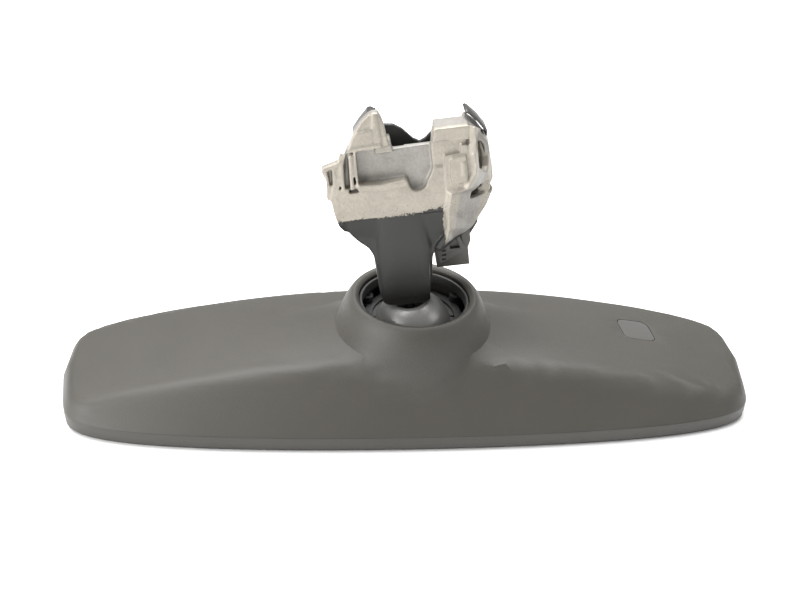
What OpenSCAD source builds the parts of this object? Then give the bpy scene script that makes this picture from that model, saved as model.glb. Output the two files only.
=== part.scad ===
// Interior rearview mirror, lying glass down: a dimming mirror head on a ball joint, and a die-cast
// arm whose foot snaps onto a windscreen bracket. Millimetres. Z is up, X is along the head, and
// -Y is the side of the sloping wall. The origin is the centre of the face that the head lies on.

/* [Head] */
// Length of the head
head_l = 247; // [210:1:296]
// Width of the head
head_w = 74; // [68:1:88]
// Height of the bezel, from its lip to the seam
bezel_h = 6; // [5.6:0.1:7]
// Height of the crease above the lip at mid length
crease_h = 27; // [25:0.5:32]
// Height of the crease above the seam at the ends of the head
crease_end_h = 3; // [2.5:0.1:4]
// Distance of the crease from the long centre line
crease_y = 23; // [21:0.5:25]
// Height of the crown at the far edge at mid length, below the crease
back_drop = 4; // [2:0.5:5]
// Wall of the rear housing
shell_t = 2.2; // [1.8:0.1:2.6]
// How far the bezel lip covers the glass edge
lip_cover = 2.2; // [1.8:0.1:3]

/* [Collar] */
// Radius of the opening in the collar
collar_r = 19.3; // [18.8:0.1:21]
// Height of the collar's rim
collar_h = 39.5; // [37:0.5:44]

/* [Mirror cell] */
// Thickness of each glass
glass_t = 1.6; // [1.1:0.1:1.7]
// Thickness of the seal between the glasses
seal_t = 0.2; // [0.1:0.05:0.3]
// Thickness of the foam pad
pad_t = 0.8; // [0.5:0.1:0.9]
// Thickness of the carrier plate
carrier_t = 1.8; // [1.5:0.1:2.2]

/* [Ball joint] */
// Radius of the ball
ball_r = 14; // [12:0.1:14.4]
// Height of the ball's centre above the lip
ball_h = 25; // [24.6:0.1:30]
// Thickness of the friction cup
cup_t = 1.45; // [1.2:0.05:1.7]
// Running clearance between spherical and round faces
run_gap = 0.05; // [0.03:0.01:0.08]
// Radius of the arm's spigot in the ball
spigot_r = 5.5; // [4.8:0.1:6]
// Radius of the wire bore down the spigot
wire_bore_r = 3.4; // [2.4:0.1:3.8]

/* [Arm and foot] */
// Lean of the arm to the side as it was left
arm_lean = 7; // [0:0.5:8]
// Width of the stem at the ball
neck_w = 18; // [15:0.5:19]
// Depth of the stem
stem_d = 11; // [10:0.5:13]
// Height of the shoulder where the stem widens into the foot, above the ball's centre
shoulder_h = 40; // [38:0.5:48]
// Height of the foot from the shoulder to the gap between its ears
plate_h = 32; // [29:0.5:38]
// Height of the ears above the gap
ear_h = 11; // [9.5:0.5:14]
// Width of the front plate
plate_w = 42; // [40:0.5:50]
// Depth of the foot's side walls behind the front plate
foot_d = 16; // [14:0.5:19]
// Thickness of the cast walls
cast_t = 2.4; // [2:0.1:3]
// Thickness of the rear cover's wall
cover_t = 1.6; // [1.3:0.1:2]
// Depth of the rear cover
cover_d = 6.5; // [5.5:0.5:7.8]
// Thickness of the spring clip strip
clip_t = 0.7; // [0.5:0.05:0.9]
// Width of the spring clips
clip_w = 7; // [5.5:0.5:8]

/* [Fasteners] */
// Shank radius of the screws
screw_r = 1.2; // [1:0.05:1.4]

/* [Hidden] */
$fn = 48;
eps = 0.01;

// Plan of the head: a curve that is an ellipse along the head and squarer across it. Its two near
// corners are drawn in a little.
half_l = head_l / 2;
half_w = head_w / 2;
outline_steps = 96;
outline_power = 0.36;
near_ease = 12;
function ease(s) = near_ease * sqrt(s) * pow(1 - s, 4);
function outline_at(t, inset) = [
    (half_l - inset) * cos(t) - sign(cos(t)) * ease(max(0, -sin(t))),
    (half_w - inset) * sign(sin(t)) * pow(abs(sin(t)), outline_power)];
function outline(inset) = [for (i = [0:outline_steps - 1]) outline_at(360 * i / outline_steps, inset)];
// Half width of the plan at a distance x along the head, and half length at y.
function plan_w(x, inset) = (half_w - inset)
    * pow(max(0, 1 - pow(min(1, abs(x) / (half_l - inset)), 2)), outline_power / 2);
function plan_l(y, inset) = let (s = pow(min(1, abs(y) / (half_w - inset)), 1 / outline_power))
    (half_l - inset) * sqrt(max(0, 1 - s * s)) - (y < 0 ? ease(s) : 0);
function plan_near(x, inset) = let (share = min(1, abs(x) / (half_l - inset)), s = sqrt(1 - share * share))
    plan_w(min(abs(x) + ease(s), 0.997 * (half_l - inset)), inset);

// Heights of the stack behind the lip.
lip_t = 1.2;
glass_z = lip_t;
seal_z = glass_z + glass_t;
mirror_z = seal_z + seal_t;
pad_z = mirror_z + glass_t;
carrier_z = pad_z + pad_t;
carrier_top = carrier_z + carrier_t;
glass_inset = 3.3;
fit_gap = 0.3;

// Outer surface of the rear housing: sloping front wall, crowned back, steep far wall and collar.
crease_round = 2.4;
back_round = 9;
collar_round = 4.5;
collar_fall = 0.5;
crown = 1.2;
crease_top_y = half_w - 10;
function smooth_min(a, b, k) = min(a, b) - pow(max(k - abs(a - b), 0), 2) / (4 * k);
function smooth_max(a, b, k) = max(a, b) + pow(max(k - abs(a - b), 0), 2) / (4 * k);
function crease_z(x) = let (s = pow(x / half_l, 2), rise = crease_h - bezel_h - crease_end_h)
    bezel_h + crease_end_h + rise * (1 - s) * (1 - 0.18 * s);
function crown_z(x, y) = let (f = (y + crease_y) / (crease_y + crease_top_y), s = pow(x / half_l, 2))
    crease_z(x) - f * back_drop * (1 - s) + crown * (1 - pow(2 * f - 1, 2));
function front_z(x, y, inset) = let (edge = plan_near(x, inset), run = max(edge - crease_y, 4))
    (crease_z(x) - bezel_h) / run * (y + edge);
function body_z(x, y, inset) = let (
        end = 2.2 * (plan_l(y, inset) - abs(x)),
        top = crown_z(x, y) - bezel_h - inset)
    bezel_h + smooth_min(smooth_min(smooth_min(front_z(x, y, inset), top, crease_round),
        3.4 * (plan_w(x, inset) - y), back_round), end, crease_round);
function collar_z(r, inset) = let (q = r + 0.8 * inset - collar_r)
    collar_h - inset - (q > 1.7 ? collar_fall * pow(q - 1.7, 1.75) : 0.4 * pow(1.7 - q, 2));
function housing_z(p, inset) = max(bezel_h,
    smooth_max(body_z(p[0], p[1], inset), collar_z(norm(p), inset), collar_round));

// Rings of the housing surface run from the seam to the collar: first towards a circle round the
// collar, closely spaced near the seam, and then straight in to the opening.
collar_zone = 8;
outer_rings = 13;
function towards(p, share, inset) = let (
        near = (collar_r + collar_zone) * p / norm(p),
        gap = norm(p - near),
        k = 1.6 * ln(max(gap, 10) / 9))
    p + (near - p) * (exp(k * share) - 1) / (exp(k) - 1);
collar_steps = [7, 6, 5, 4, 3, 2.3, 1.7, 1.1, 0.5, 0];
function ring_xy(k, inset) = [for (p = outline(inset))
    k <= outer_rings ? towards(p, k / outer_rings, inset)
        : (collar_r + collar_steps[k - outer_rings - 1]) * p / norm(p)];
function raised(points, inset, floor) = [for (p = points)
    [p[0], p[1], floor ? bezel_h : housing_z(p, inset)]];
outer_surface = [for (k = [0:outer_rings + len(collar_steps)]) raised(ring_xy(k, 0), 0, k == 0)];
inner_surface = [for (k = [outer_rings + len(collar_steps):-1:0])
    raised(ring_xy(k, shell_t), shell_t, k == 0)];

// A closed skin through rings of points; the last ring joins the first.
function ring_faces(rings, n) = [for (k = [0:rings - 1], i = [0:n - 1], half = [0, 1])
    let (a = k * n + i, b = k * n + (i + 1) % n,
        c = ((k + 1) % rings) * n + (i + 1) % n, d = ((k + 1) % rings) * n + i)
    half == 0 ? [a, b, c] : [a, c, d]];
module ring_skin(rings) {
    n = len(rings[0]);
    polyhedron([for (r = rings, p = r) p], [for (f = ring_faces(len(rings), n)) [f[0], f[2], f[1]]]);
}

// Ambient light window in the back of the housing.
window_x = 84.5 / 123.5 * half_l;
window_y = 8;
window_l = 12;
window_w = 13.5;
window_gap = 0.25;
window_z = housing_z([window_x + window_l / 2, window_y + window_w / 2], shell_t) - 1;

// Screw heads, and the slack round a shank or a head.
head_r = 2 * screw_r;
screw_head_h = 1.5;
slack = 0.2;

// Ball joint.
cup_in = ball_r + run_gap;
cup_out = cup_in + cup_t;
seat_r = cup_out + run_gap;
cup_rim_angle = 72;
cup_hole_r = 8;
base_hole_r = 9;
base_r = seat_r + 5.9;
base_top = ball_h + 3;
clamp_gap = 0.1;
clamp_t = 2.5;
clamp_top = base_top + clamp_gap + clamp_t;
clamp_screw_at = seat_r + 3;
clamp_angles = [30, 150, 270];
washer_h = 1;
lug_r = 3.6;
lug_at = (base_r + head_r + fit_gap) / sqrt(2);
lug_h = 2.2;
boss_h = 2;
boss_r = 3;

// Circuit board.
board_x = 34;
board_l = 60;
board_w = 30;
board_t = 1.6;
board_z = carrier_top + 2.4;
board_top = board_z + board_t;
board_screw_x = board_l / 2 - 3;
board_screw_y = board_w / 2 - 3;
glare_x = board_x + 22;
glare_r = 2.6;
loom_r = 1.5;

// Arm, in its own frame: u to the right, v to the back, w up the stem, from the ball's centre.
ball_flat = ball_r - 1.8;
neck_h = ball_flat + 0.4;
nut_top = -0.57 * ball_r;
nut_h = 3;
nut_r = 7.4;
spigot_end = nut_top - nut_h - 0.1;
neck_l = -0.56 * neck_w;
neck_right = neck_w + neck_l;
front_v = -8;
stem_back = front_v + stem_d;
back_v = front_v + foot_d;
plate_top = shoulder_h + plate_h;
ear_top = plate_top + ear_h;
plate_l = -0.47 * plate_w;
plate_r = plate_w + plate_l;
flare = 7;
gap_l = plate_l + 15;
gap_r = plate_l + 30.5;
module arm_frame() translate([0, 0, ball_h]) rotate([0, -arm_lean, 0]) children();
module slab(points, v0, v1) translate([0, v1, 0]) rotate([90, 0, 0])
    linear_extrude(v1 - v0) polygon(points);
module side_hole(v0, v1, w0, w1, u0) translate([u0, v0, w0]) cube([25, v1 - v0, w1 - w0]);
module pocket(u, v, w, r, length) translate([u, v, w]) rotate([-90, 0, 0]) cylinder(r = r, h = length);

// A screw: a pan head with a cross recess on a plain shank that points down from the origin.
module screw(length) difference() {
    union() {
        cylinder(r = head_r, h = screw_head_h);
        translate([0, 0, -length]) cylinder(r = screw_r, h = length + eps);
    }
    for (a = [0, 90]) rotate([0, 0, a])
        translate([-screw_r, -0.25, screw_head_h - 0.7]) cube([2 * screw_r, 0.5, 1]);
}
module at_corners(x, y) for (i = [-1, 1], j = [-1, 1]) translate([i * x, j * y, 0]) children();
module around(angles, r) for (a = angles) rotate([0, 0, a]) translate([r, 0, 0]) children();

// Screws that hold the carrier to the housing's bosses.
housing_screw_x = half_l - 17.5;
mid_screw_x = half_l - 63.5;
mid_screw_y = half_w - 11;
housing_screws_at = [[-housing_screw_x, 0], [housing_screw_x, 0],
    [-mid_screw_x, 4 - mid_screw_y], [-mid_screw_x, mid_screw_y],
    [mid_screw_x, 4 - mid_screw_y], [mid_screw_x, mid_screw_y]];
boss_z = carrier_top + boss_h;
function low_z(p, r) = min([for (a = [0:45:315]) housing_z(p + r * [cos(a), sin(a)], shell_t / 2)]);
function screw_grip(p) = min(5, low_z(p, boss_r) - boss_z - 0.3);

// Window in the housing: a plate that leans with the surface round it.
window_slope_x = atan2(housing_z([window_x + 5, window_y], 0) - housing_z([window_x - 5, window_y], 0), 10);
window_slope_y = atan2(housing_z([window_x, window_y + 5], 0) - housing_z([window_x, window_y - 5], 0), 10);
window_at = [window_x, window_y, housing_z([window_x, window_y], 0)];
window_t = shell_t + 0.6;
module window_block(gap, bottom, top) translate(window_at) rotate([window_slope_y, -window_slope_x, 0])
    translate([0, 0, bottom]) linear_extrude(top - bottom)
        rounded(window_l + 2 * gap, window_w + 2 * gap, 3 + gap);
module rounded(length, width, r) {
    square([length - 2 * r, width], center = true);
    square([length, width - 2 * r], center = true);
    for (i = [-1, 1], j = [-1, 1]) translate([i * (length / 2 - r), j * (width / 2 - r)]) circle(r);
}

// ---- Head ----
module rear_housing() color("#35322e") difference() {
    union() {
        ring_skin(concat(outer_surface, inner_surface));
        for (p = housing_screws_at) translate([p[0], p[1], boss_z])
            cylinder(r = boss_r, h = low_z(p, boss_r) - boss_z);
    }
    for (p = housing_screws_at) translate([p[0], p[1], boss_z - 1])
        cylinder(r = screw_r, h = 1 + screw_grip(p));
    window_block(window_gap, -8, 8);
}

// The bezel: a band with a stepped round at the bottom and a lip that covers the glass edge.
lip_steps = [[0.9, 0], [0.35, 0.3], [0, 0.9]];
module front_bezel() color("#3a3733") difference() {
    union() {
        for (i = [0:2]) plate(lip_steps[i][0], lip_steps[i][1], bezel_h - lip_steps[i][1]);
    }
    plate(glass_inset + lip_cover, -1, bezel_h);
    plate(glass_inset - fit_gap, glass_z, bezel_h);
}

module plate(inset, z, t) translate([0, 0, z]) linear_extrude(t) polygon(outline(inset));
module front_glass() color("#8ea0a0") plate(glass_inset, glass_z, glass_t);
module cell_seal() color("#20201e") difference() {
    plate(glass_inset + 0.3, seal_z, seal_t);
    plate(glass_inset + 2.3, seal_z - 1, seal_t + 2);
}
module mirror_glass() color("#b4bcc0") plate(glass_inset, mirror_z, glass_t);
module foam_pad() color("#3c3c3c") difference() {
    plate(glass_inset + 1, pad_z, pad_t);
    translate([glare_x, 0, pad_z - 1]) cylinder(r = glare_r + 0.6, h = pad_t + 2);
    for (p = housing_screws_at) translate([p[0], p[1], pad_z - 1]) cylinder(r = head_r + 0.6, h = pad_t + 2);
}
module glass_carrier() color("#26262a") difference() {
    union() {
        plate(glass_inset + 0.6, carrier_z, carrier_t);
        for (p = housing_screws_at) translate([p[0], p[1], carrier_top - eps])
            cylinder(r = boss_r + 0.6, h = boss_h + eps);
        translate([board_x + board_l / 2, 0, carrier_top - eps]) at_corners(board_screw_x, board_screw_y)
            cylinder(r = boss_r - 0.6, h = board_z - carrier_top + eps);
    }
    for (p = housing_screws_at) translate([p[0], p[1], carrier_z - 1]) {
        cylinder(r = screw_r, h = 10);
        cylinder(r = head_r + 0.2, h = 1 + screw_head_h + 0.4);
    }
    translate([board_x + board_l / 2, 0, carrier_z + 0.4]) at_corners(board_screw_x, board_screw_y)
        cylinder(r = screw_r, h = 10);
    at_corners(lug_at, lug_at) translate([0, 0, carrier_z + 0.4]) cylinder(r = screw_r, h = 10);
    translate([glare_x, 0, carrier_z - 1]) cylinder(r = glare_r + 0.3, h = carrier_t + 2);
}
module housing_screws() color("#9a9a98") for (p = housing_screws_at)
    translate([p[0], p[1], carrier_z + screw_head_h + 0.4]) rotate([180, 0, 0])
        screw(carrier_t + boss_h - screw_head_h - 0.4 + screw_grip(p));

// ---- Electronics ----
module circuit_board() color("#1f5a35") difference() {
    translate([board_x + board_l / 2, 0, board_z]) linear_extrude(board_t) rounded(board_l, board_w, 2);
    translate([board_x + board_l / 2, 0, board_z - 1]) at_corners(board_screw_x, board_screw_y)
        cylinder(r = screw_r + 0.2, h = board_t + 2);
}
module chip(x, y, length, width, h)
    translate([board_x + x - length / 2, y - width / 2, board_top]) cube([length, width, h]);
module board_chips() color("#1b1b1d") {
    chip(24, -4, 10, 8, 1.6);
    chip(38, -6, 5, 5, 1.2);
    for (i = [0:3]) chip(34 + 4 * i, 3, 2, 1.2, 0.9);
    translate([board_x + 13, 10, board_top]) cylinder(r = 2.5, h = 2.4);
}
module board_screws() color("#9a9a98") translate([board_x + board_l / 2, 0, board_top])
    at_corners(board_screw_x, board_screw_y) screw(board_top - carrier_top);
module board_socket() color("#d8d2c0") difference() {
    chip(9, -4, 8, 11, 4.5);
    translate([board_x + 4, -8, board_top + 1]) cube([5, 8, 2.5]);
}
module ambient_sensor() color("#2a2a30") translate([window_x, window_y, board_top]) {
    translate([-1.6, -1.6, 0]) cube([3.2, 3.2, 1]);
    cylinder(r = 1.2, h = 1.3);
}
module light_guide() color("#d7dde0") translate([window_x, window_y, board_top + 1.4])
    cylinder(r = 1.6, h = max(0.4, window_z - 0.3 - board_top - 1.4));
module sensor_window() color("#4a4d4f") difference() {
    window_block(0, -window_t, -0.15);
    window_block(-1.2, -window_t - 1, -1.4);
}
module glare_sensor() color("#30343a") translate([glare_x, 0, pad_z + 0.1])
    cylinder(r = glare_r, h = board_z - pad_z - 0.1);

// ---- Ball socket ----
// Half section of a round block from r0 to r1 and z0 to z1, hollowed by the spherical seat.
module seat_section(r0, r1, z0, z1) difference() {
    translate([r0, z0]) square([r1 - r0, z1 - z0]);
    translate([0, ball_h]) circle(r = seat_r, $fn = 96);
}
module socket_base() color("#55575a") difference() {
    union() {
        rotate_extrude() seat_section(base_hole_r, base_r, carrier_top, base_top);
        at_corners(lug_at, lug_at) translate([0, 0, carrier_top]) cylinder(r = lug_r, h = lug_h);
    }
    translate([0, -loom_r - fit_gap, carrier_top - 1])
        cube([base_r + 1, 2 * (loom_r + fit_gap), 2 * loom_r + 1.5]);
    at_corners(lug_at, lug_at) translate([0, 0, carrier_top - 1]) cylinder(r = screw_r, h = 10);
    translate([0, 0, base_top - 6]) around(clamp_angles, clamp_screw_at) cylinder(r = screw_r, h = 10);
}
module socket_screws() color("#8f8f8c") at_corners(lug_at, lug_at) translate([0, 0, carrier_top + lug_h])
    screw(lug_h + carrier_t - 0.4);
module clamp_plate() color("#6a6c6e") difference() {
    union() {
        rotate_extrude() seat_section(1, seat_r + 1.6, base_top + clamp_gap, clamp_top);
        around(clamp_angles, clamp_screw_at) translate([0, 0, base_top + clamp_gap])
            cylinder(r = head_r + 0.5, h = clamp_t);
    }
    around(clamp_angles, clamp_screw_at) translate([0, 0, base_top - 1]) cylinder(r = screw_r, h = 10);
}
module spring_washers() color("#a9a9a6") around(clamp_angles, clamp_screw_at)
    translate([0, 0, clamp_top]) rotate_extrude() polygon([[screw_r, 0.5], [screw_r + 0.5, washer_h],
        [head_r, washer_h], [head_r, 0], [screw_r + 1, 0]]);
module clamp_screws() color("#8f8f8c") around(clamp_angles, clamp_screw_at)
    translate([0, 0, clamp_top + washer_h]) screw(washer_h + clamp_t + clamp_gap + 5);
collar_drop = 2.2;
ring_z = clamp_top + washer_h + screw_head_h + 0.4;
module collar_ring() color("#171717") translate([0, 0, ring_z]) difference() {
    union() {
        cylinder(r = collar_r - 0.15, h = collar_h - collar_drop - ring_z);
        cylinder(r = collar_r + 0.9, h = 1);
    }
    translate([0, 0, -1]) cylinder(r = collar_r - 1.3, h = 20);
    around([0:60:300], collar_r - 1.2) translate([-1.5, -2, 1.6]) cube([1, 4, 20]);
}
module head_loom() color("#232323") {
    translate([0, 0, carrier_top + loom_r + 0.1]) rotate([0, 90, 0]) cylinder(r = loom_r, h = base_r + 4);
    translate([0, 0, carrier_top + 0.1 + loom_r]) sphere(r = loom_r);
    translate([base_r + 4, 0, carrier_top + loom_r + 0.1]) sphere(r = loom_r);
}
module friction_cup() color("#c9c4b4") translate([0, 0, ball_h]) difference() {
    sphere(r = cup_out, $fn = 96);
    sphere(r = cup_in, $fn = 96);
    translate([0, 0, cup_out * cos(cup_rim_angle)]) cylinder(r = 2 * cup_out, h = 2 * cup_out);
    translate([0, 0, -2 * cup_out]) cylinder(r = cup_hole_r, h = 2 * cup_out);
    for (a = [0:60:300]) rotate([0, 0, a]) translate([0, -0.5, -3]) cube([2 * cup_out, 1, 2 * cup_out]);
}
module pivot_ball() color("#7c7d80") arm_frame() difference() {
    sphere(r = ball_r, $fn = 96);
    translate([0, 0, ball_flat]) cylinder(r = 2 * ball_r, h = ball_r);
    translate([0, 0, -ball_r]) cylinder(r = nut_r + 0.6, h = ball_r + nut_top);
    translate([0, 0, -ball_r - 1]) cylinder(r = spigot_r + run_gap, h = 2 * ball_r + 2);
}

// ---- Arm and foot ----
// Outline of the front plate with its ears, in the arm's frame.
shoulder_l = plate_l + 2.5;
front_outline = [
    [shoulder_l + 6, shoulder_h - 2], [shoulder_l + 1, shoulder_h + 2], [plate_l + 1, shoulder_h + 7],
    [plate_l, shoulder_h + 16], [plate_l, shoulder_h + 27], [plate_l + 4.5, plate_top + 1],
    [plate_l + 9, ear_top - 2], [plate_l + 12.2, ear_top + 2], [plate_l + 14.6, ear_top + 1.6],
    [gap_l, plate_top + 8], [gap_l, plate_top + 1.5], [gap_l + 1.5, plate_top],
    [gap_r - 1.5, plate_top], [gap_r, plate_top + 1.5],
    [gap_r + 0.6, ear_top - 2], [plate_r - 1.6, ear_top - 2], [plate_r, ear_top - 5.5],
    [plate_r - 0.6, shoulder_h + 17], [plate_r - 9, shoulder_h + 16.5], [neck_right + 3.4, shoulder_h + 1]];
stem_outline = [
    [neck_l + 2, neck_h], [neck_l, neck_h + 2.5], [neck_l - 0.6, shoulder_h - 8],
    [neck_l - 3, shoulder_h], [neck_right + 4, shoulder_h + 2], [neck_right + 1.4, shoulder_h - 5],
    [neck_right, neck_h + 4], [neck_right - 2, neck_h]];

// Edges of the right side wall: at the front plate and at the back rim, from the top down.
wall_front = [[plate_r - 0.2, ear_top - 5.6], [plate_r - 0.7, shoulder_h + 17],
    [plate_r - 9, shoulder_h + 10], [neck_right + 3, shoulder_h - 2], [neck_right + 0.8, shoulder_h - 6]];
wall_back = [[plate_r + 1, ear_top - 8], [plate_r + flare, shoulder_h + 19],
    [plate_r + flare + 1, shoulder_h + 7], [plate_r + flare - 2, shoulder_h + 1.5], [plate_r - 7, shoulder_h - 10]];
// A strip of wall inside the edge from p to q, a little longer than it so that strips join.
wall_lap = 0.8;
function wall_strip(p, q) = let (d = (q - p) / norm(q - p), side = [d[1], -d[0]] * cast_t, lap = d * wall_lap)
    [p - lap, q + lap, q + lap + side, p - lap + side];
module wall_panel(i) hull() {
    slab(wall_strip(wall_front[i], wall_front[i + 1]), front_v, front_v + 0.5);
    slab(wall_strip(wall_back[i], wall_back[i + 1]), back_v - 0.5, back_v);
}
module arm_casting() color("#8a867c") arm_frame() difference() {
    union() {
        translate([0, 0, spigot_end]) cylinder(r = spigot_r, h = neck_h - spigot_end + 2);
        slab(stem_outline, front_v + 2, stem_back);
        slab(front_outline, front_v, front_v + cast_t);
        // left side: a straight wall behind the plate, and the ribbed flange beside it
        slab([[plate_l, shoulder_h + 8], [plate_l, shoulder_h + 27], [plate_l + 4.5, plate_top + 1],
            [plate_l + 4.5 + cast_t, plate_top], [plate_l + cast_t, shoulder_h + 26],
            [plate_l + cast_t, shoulder_h + 8]], front_v, back_v);
        slab([[shoulder_l + 6, shoulder_h - 2], [plate_l + 1, shoulder_h + 6], [plate_l, shoulder_h + 9],
            [plate_l + cast_t, shoulder_h + 9], [shoulder_l + 8, shoulder_h + 1]], front_v, back_v);
        slab([[plate_l + 0.5, shoulder_h + 16.5], [plate_l - 4, shoulder_h + 16.5],
            [plate_l - 4, shoulder_h + 28], [plate_l + 3, plate_top - 1.5]],
            front_v + 5, front_v + 5 + cast_t);
        for (i = [0:2]) translate([plate_l - 3.5 + 1.3 * i, front_v + 4.2, shoulder_h + 17.5])
            cube([0.7, 1.5, 9.5]);
        for (i = [0:3]) wall_panel(i);
        // raised pad on the right of the plate
        slab([[plate_r - 8, shoulder_h + 18.5], [plate_r - 2, shoulder_h + 19],
            [plate_r - 2, shoulder_h + 28], [plate_r - 8, shoulder_h + 28]], front_v - 0.9, front_v + eps);
        slab([[shoulder_l + 1.5, shoulder_h + 19.4], [gap_l + 6, shoulder_h + 20],
            [gap_l + 6, shoulder_h + 21.4], [shoulder_l + 1.5, shoulder_h + 20.8]], front_v - 1, front_v + eps);
        // bosses for the rear cover's screws
        for (p = cover_screws_at) pocket(p[0], front_v, p[1], boss_r, cover_v - front_v);
    }
    for (p = cover_screws_at) pocket(p[0], cover_v - 6, p[1], screw_r, 7);
    translate([0, 0, spigot_end - 1]) cylinder(r = wire_bore_r, h = neck_h - spigot_end + 3);
    // channel for the wires up the back of the stem
    translate([-wire_bore_r, -wire_bore_r, neck_h + 2])
        cube([2 * wire_bore_r, back_v + wire_bore_r + 1, shoulder_h + 2 - neck_h]);
    // openings in the right side wall
    translate([plate_r - 5, back_v - 5.5, shoulder_h + 22]) rotate([0, 90, 0]) cylinder(r = 2.6, h = 20);
    side_hole(back_v - 9, back_v - 3, shoulder_h + 7, shoulder_h + 12, plate_r - 5);
    side_hole(back_v - 7, back_v - 3, shoulder_h + 2, shoulder_h + 5, plate_r - 7);
}
cover_v = back_v - cover_d;
cover_screws_at = [[plate_l + 9, shoulder_h + 12], [plate_r - 5, shoulder_h + 18]];
module spigot_nut() color("#9a9a98") arm_frame() translate([0, 0, nut_top - nut_h]) difference() {
    cylinder(r = nut_r, h = nut_h, $fn = 6);
    translate([0, 0, -1]) cylinder(r = spigot_r, h = nut_h + 2);
}

// Rear cover: a dark plastic pan behind the front plate, notched in a V at the top.
cover_l = plate_l + cast_t + 0.4;
cover_r = plate_r - cast_t - 1;
notch_u = gap_l + 11.5;
cover_outline = [[cover_l, shoulder_h + 9], [cover_l, plate_top - 6], [gap_l - 1, plate_top + 4],
    [gap_l + 3, plate_top + 4.5], [notch_u, plate_top - 3], [gap_r + 1.5, plate_top + 0.5],
    [cover_r, plate_top - 1], [cover_r, shoulder_h + 17.5], [neck_right + 2, shoulder_h + 5],
    [shoulder_l + 8, shoulder_h + 4]];
module rear_cover() color("#1c1c1b") arm_frame() difference() {
    slab(cover_outline, cover_v, cover_v + cover_t);
    for (p = cover_screws_at) pocket(p[0], cover_v - 1, p[1], screw_r + 0.2, cover_t + 2);
    pocket(0, cover_v - 1, shoulder_h + 12, 3, cover_t + 2);
}
module cover_screws() color("#9a9a98") arm_frame() for (p = cover_screws_at)
    translate([p[0], cover_v + cover_t, p[1]]) rotate([-90, 0, 0]) screw(cover_t + 5);

// Connector that hangs behind the stem: a shell in front of the rim's back plane that steps back
// over it, with two rows of pins in its mouth.
con_l = neck_right + 2;
con_w = 11.5;
con_z = 20.5;
con_h = 8.2;
con_v0 = 5;
con_v1 = 13;
con_wall = 1.2;
mouth_h = con_h - 3;
pin_w = 0.7;
pin_h = 4.2;
rim_gap = 0.2;
step_top = shoulder_h - 4;
module at_pins() for (i = [0:3], j = [0, 1])
    translate([con_l + 1.9 + 2.2 * i, con_v0 + 2.3 + 2.6 * j, con_z + 3]) children();
module connector_shell() color("#2b2b29") arm_frame() difference() {
    union() {
        translate([con_l, con_v0, con_z]) cube([con_w, con_v1 - con_v0, con_h]);
        translate([con_l, back_v + rim_gap, con_z + con_h - eps])
            cube([con_w, con_v1 - back_v - rim_gap, step_top - con_z - con_h]);
    }
    translate([con_l + con_wall, con_v0 + con_wall, con_z - 1])
        cube([con_w - 2 * con_wall, con_v1 - con_v0 - 2 * con_wall, mouth_h + 1]);
    for (i = [0:2]) translate([con_l + 2 + 3 * i, con_v0 - 1, con_z + con_h - 2]) cube([1.6, 2, 1.2]);
    at_pins() cube([pin_w, pin_w, pin_h]);
}
module connector_pins() color("#b9a565") arm_frame() at_pins() cube([pin_w, pin_w, pin_h]);

// Side panel behind the right rim, beside the connector.
panel_l = con_l + con_w + rim_gap;
module side_panel() color("#2c2c22") arm_frame()
    slab([[panel_l, shoulder_h - 10], [panel_l, shoulder_h - 2], [plate_r + 3, shoulder_h + 2],
        [plate_r + 4.6, shoulder_h + 1], [plate_r + 3.5, shoulder_h - 5], [plate_r + 1, shoulder_h - 9]],
        back_v + rim_gap, back_v + rim_gap + cover_t);
module arm_loom() color("#232323") arm_frame() {
    translate([0, 0, spigot_end + 1]) cylinder(r = loom_r, h = neck_h + 6 - spigot_end);
    translate([0, 0, neck_h + 7]) sphere(r = loom_r + 0.2);
    translate([0, 0, neck_h + 7]) rotate([-12, 0, 0]) cylinder(r = loom_r, h = shoulder_h - neck_h - 2);
}

// Spring clips on the slanted edges of the ears: strips with a curl over each ear's tip.
function arc(c, r, a0, a1, n) = [for (i = [0:n]) let (a = a0 + (a1 - a0) * i / n) c + r * [cos(a), sin(a)]];
function side_of(path, i) = let (
    a = path[max(i - 1, 0)],
    b = path[min(i + 1, len(path) - 1)],
    d = (b - a) / norm(b - a)) [-d[1], d[0]];
function ribbon(path, t) = concat([for (i = [0:len(path) - 1]) path[i] + side_of(path, i) * t / 2],
    [for (i = [len(path) - 1:-1:0]) path[i] - side_of(path, i) * t / 2]);
clip_foot_r = [plate_r + flare - 1.4, ear_top - 11.5];
clip_tip_r = [plate_r + 0.9, ear_top - 2.6];
clip_foot_l = [plate_l + 7, plate_top + 3.6];
clip_tip_l = [plate_l + 12, ear_top + 1.2];
clip_front_r = front_v + 5.5;
clip_front_l = front_v + 4.5;
curl_r = 1.1;
module spring_clip_right() color("#4a4a4a") arm_frame()
    slab(ribbon(concat([clip_foot_r + [-0.4, -2.6], clip_foot_r, (clip_foot_r + clip_tip_r) / 2],
        arc(clip_tip_r + [-0.8, -0.8], curl_r, 40, 190, 8)), clip_t), clip_front_r, clip_front_r + clip_w);
module spring_clip_left() color("#4a4a4a") arm_frame()
    slab(ribbon(concat([clip_foot_l, (clip_foot_l + clip_tip_l) / 2],
        arc(clip_tip_l + [0.9, -0.6], curl_r, 150, 20, 8),
        [clip_tip_l + [2.8, -0.9], clip_tip_l + [3.3, -0.4]]), clip_t), clip_front_l, clip_front_l + clip_w);

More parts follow.
